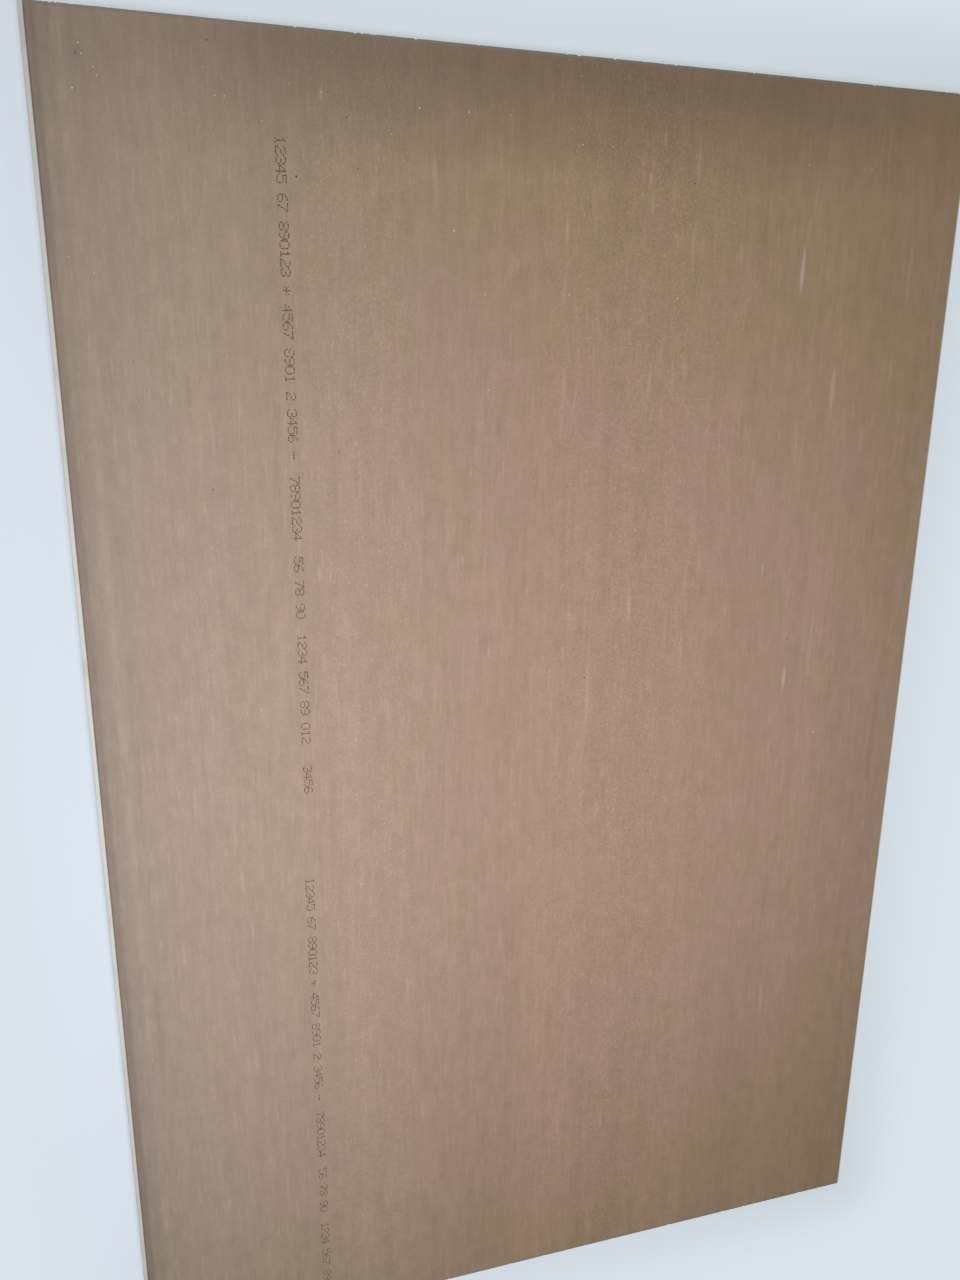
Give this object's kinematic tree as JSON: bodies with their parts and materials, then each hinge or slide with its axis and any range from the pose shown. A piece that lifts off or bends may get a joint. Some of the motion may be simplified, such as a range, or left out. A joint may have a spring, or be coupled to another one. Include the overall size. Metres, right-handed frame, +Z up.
{
  "type": "drywall sheet",
  "caption": "Flat gypsum drywall sheet between two papers, with tapered long edges wrapped in ivory face paper, a brown paper back and bare cut ends.",
  "frame": {"origin": "middle of the underside, which is the ivory face that the sheet lies on", "axes": "+X across the sheet's width, +Y along its length, +Z up, out of the brown back"},
  "size_m": [1.2, 1.8, 0.0125],
  "materials": {
    "gypsum": "matte",
    "ivory_paper": "matte",
    "brown_paper": "matte"
  },
  "bodies": {
    "root": {"gypsum_core": "gypsum", "face_paper": "ivory_paper", "back_paper": "brown_paper"}
  },
  "joints": []
}
